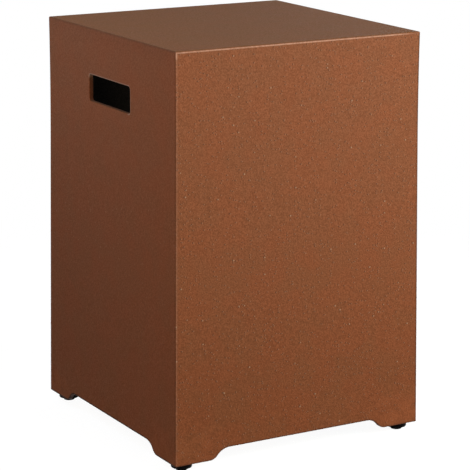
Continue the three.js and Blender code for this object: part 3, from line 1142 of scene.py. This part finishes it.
def windRidge(name, rootRadius, crestRadius, start, turns):
    selectNothing()
    bpy.ops.mesh.primitive_plane_add(
        size=1, rotation=(math.pi / 2, 0, 0), location=((rootRadius + crestRadius) / 2, 0, start))
    ridge = named(name)
    ridge.scale = (abs(crestRadius - rootRadius), thread["rootWidth"], 1)
    applyPlace(ridge)
    edit(ridge)
    pick(ridge, "VERT", lambda vert: abs(vert.co.x - crestRadius) < samePlace)
    bpy.ops.transform.resize(value=(1, 1, thread["crestWidth"] / thread["rootWidth"]))
    bpy.ops.mesh.select_all(action="SELECT")
    bpy.ops.mesh.delete(type="ONLY_FACE")
    stopEditing()
    wind = ridge.modifiers.new("wind", "SCREW")
    wind.screw_offset = thread["pitch"]
    wind.iterations = turns
    wind.steps = wind.render_steps = thread["steps"]
    applyModifier(ridge, wind)
    edit(ridge)
    bpy.ops.mesh.select_all(action="SELECT")
    bpy.ops.mesh.remove_doubles(threshold=thread["mergeWithin"])
    pick(ridge, "EDGE", lambda edge: edge.is_boundary)
    bpy.ops.mesh.fill_holes(sides=0)
    turnFacesOut()
    stopEditing()
    return ridge


# Stud with its hexagonal head, from the underside of the head

stud = {
    "crestRadius": 0.0040,
    "rootRadius": 0.00325,
    "length": 0.037,
    "chamfer": 0.0008,
    "headAcross": 0.013,
    "headHeight": 0.0048,
    "headChamfer": 0.0007,
    "threadStart": 0.0068,
    "turns": 23,
    "steps": 48,
}


def modelStud():
    chamfer = stud["headChamfer"]
    headTop = stud["headHeight"]
    headRadius = stud["headAcross"] / 2
    widest = headRadius + 2 * chamfer
    root = stud["rootRadius"]
    piece = hexagonBlock("stud", stud["headAcross"], 0, headTop)
    corners = turnRings("headRounding", [
        (headRadius, 0), (widest, chamfer), (widest, headTop - chamfer), (headRadius, headTop)],
        stud["steps"], tube=False)
    combine(piece, corners, "INTERSECT")
    rod = turnRings("rod", [
        (root, headTop / 2), (root, stud["length"] - stud["chamfer"]),
        (root - stud["chamfer"], stud["length"])], stud["steps"], tube=False)
    combine(piece, rod, "UNION")
    ridge = windRidge(
        "ridge", root - thread["sunk"], stud["crestRadius"], stud["threadStart"], stud["turns"])
    combine(piece, ridge, "UNION")
    finishSurface(piece, smoothAngle=32)
    print("stud modelled:", len(piece.data.polygons), "faces")
    return piece


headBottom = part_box("stud_front_left")[0].z
toCorners(modelStud(), (footPlace, footPlace, headBottom), "stud", "adjuster_CORNER", "zinc_steel")


# Threaded insert in each corner block: a flanged barrel with two grip grooves, from the leg's bottom

insert = {
    "boreRadius": 0.0043,
    "crestRadius": 0.0037,
    "barrelRadius": 0.0065,
    "length": 0.022,
    "flangeRadius": 0.010,
    "flangeThickness": 0.002,
    "chamfer": 0.0006,
    "grooveDepth": 0.0008,
    "grooveWidth": 0.0024,
    "grooves": 2,
    "steps": 64,
}


def modelInsert(studPhase):
    # Its thread stays half a pitch from the stud's, which starts studPhase above the leg's bottom
    barrel, bore, flange = insert["barrelRadius"], insert["boreRadius"], insert["flangeRadius"]
    top, thick, chamfer = insert["length"], insert["flangeThickness"], insert["chamfer"]
    spacing = (top - thick) / insert["grooves"]
    waist = barrel - insert["grooveDepth"]
    outside = []
    for i in range(insert["grooves"]):
        low = thick + spacing * (i + 0.5) - insert["grooveWidth"] / 2
        high = low + insert["grooveWidth"]
        outside += [(barrel, low), (waist, low), (waist, high), (barrel, high)]
    piece = turnRings("insert", [
        (bore, top), (bore, chamfer), (bore + chamfer, 0), (flange - chamfer, 0), (flange, chamfer),
        (flange, thick), (barrel, thick), *outside, (barrel, top - chamfer), (barrel - chamfer, top)],
        insert["steps"], tube=True)
    pitch = thread["pitch"]
    start = pitch + (studPhase + pitch / 2) % pitch
    turns = int((top - start) / pitch) - 1
    ridge = windRidge("ridge", bore + thread["sunk"], insert["crestRadius"], start, turns)
    combine(piece, ridge, "UNION")
    finishSurface(piece, smoothAngle=32)
    print("insert modelled:", len(piece.data.polygons), "faces")
    return piece


toCorners(
    modelInsert(headBottom + stud["threadStart"] - coverLow.z),
    (footPlace, footPlace, coverLow.z), "threaded_insert", "root", "zinc_steel")


# Corner blocks: rough cast, each with a stepped bore for its insert and stud

block = {
    "overrun": 0.005,             # past the inner faces of the walls, before it is cut to them
    "cornerRadius": 0.009,
    "cornerSteps": 10,
    "chamfer": 0.003,
    "seatGap": 0.0003,
    "wallGap": 0.00032,           # to the inner faces of the walls
    "insideFrom": -0.02,          # heights above the leg's bottom of the form that it is cut to
    "insideTo": 0.08,
    "insideTopRadius": 0.004,
    "boreRings": [                # radius, height
        (0.0103, -0.005), (0.0103, 0.0023), (0.0068, 0.0023),
        (0.0068, 0.0223), (0.0043, 0.0223), (0.0043, 0.0344),
    ],
    "boreSteps": 64,
    "lowerEase": (0.0006, 3),     # radius, steps
}


def modelBlock():
    low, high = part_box("corner_block_front_left")
    near = high.x
    far = low.x - block["seatGap"] - block["overrun"]
    centre = (near + far) / 2
    piece = addBlock(
        "block", (centre, centre, (low.z + high.z) / 2), (near - far, near - far, high.z - low.z))
    edit(piece)
    pick(piece, "EDGE", isUpright)
    easeEdges(block["cornerRadius"], block["cornerSteps"])
    pick(piece, "EDGE", lambda edge: min(v.co.z for v in edge.verts) > high.z - samePlace)
    easeEdges(block["chamfer"], 1)
    stopEditing()
    inside = draftedBlock(
        "insideTool", cover["wall"] + block["wallGap"],
        (coverLow.z + block["insideFrom"], coverLow.z + block["insideTo"]),
        cover["innerCornerRadius"] - block["seatGap"], block["insideTopRadius"], cover["innerSteps"])
    combine(piece, inside, "INTERSECT")
    edit(piece)
    pick(piece, "EDGE", lambda edge: max(v.co.z for v in edge.verts) < low.z + samePlace)
    easeEdges(*block["lowerEase"])
    stopEditing()
    bore = turnRings("boreTool", block["boreRings"], block["boreSteps"], tube=False)
    bore.location = (footPlace, footPlace, low.z)
    applyPlace(bore)
    combine(piece, bore, "DIFFERENCE")
    finishSurface(piece, smoothAngle=32)
    print("corner block modelled:", len(piece.data.polygons), "faces")
    return piece


toCorners(modelBlock(), (0, 0, 0), "corner_block", "root", "raw_cast")
print("all pieces placed")
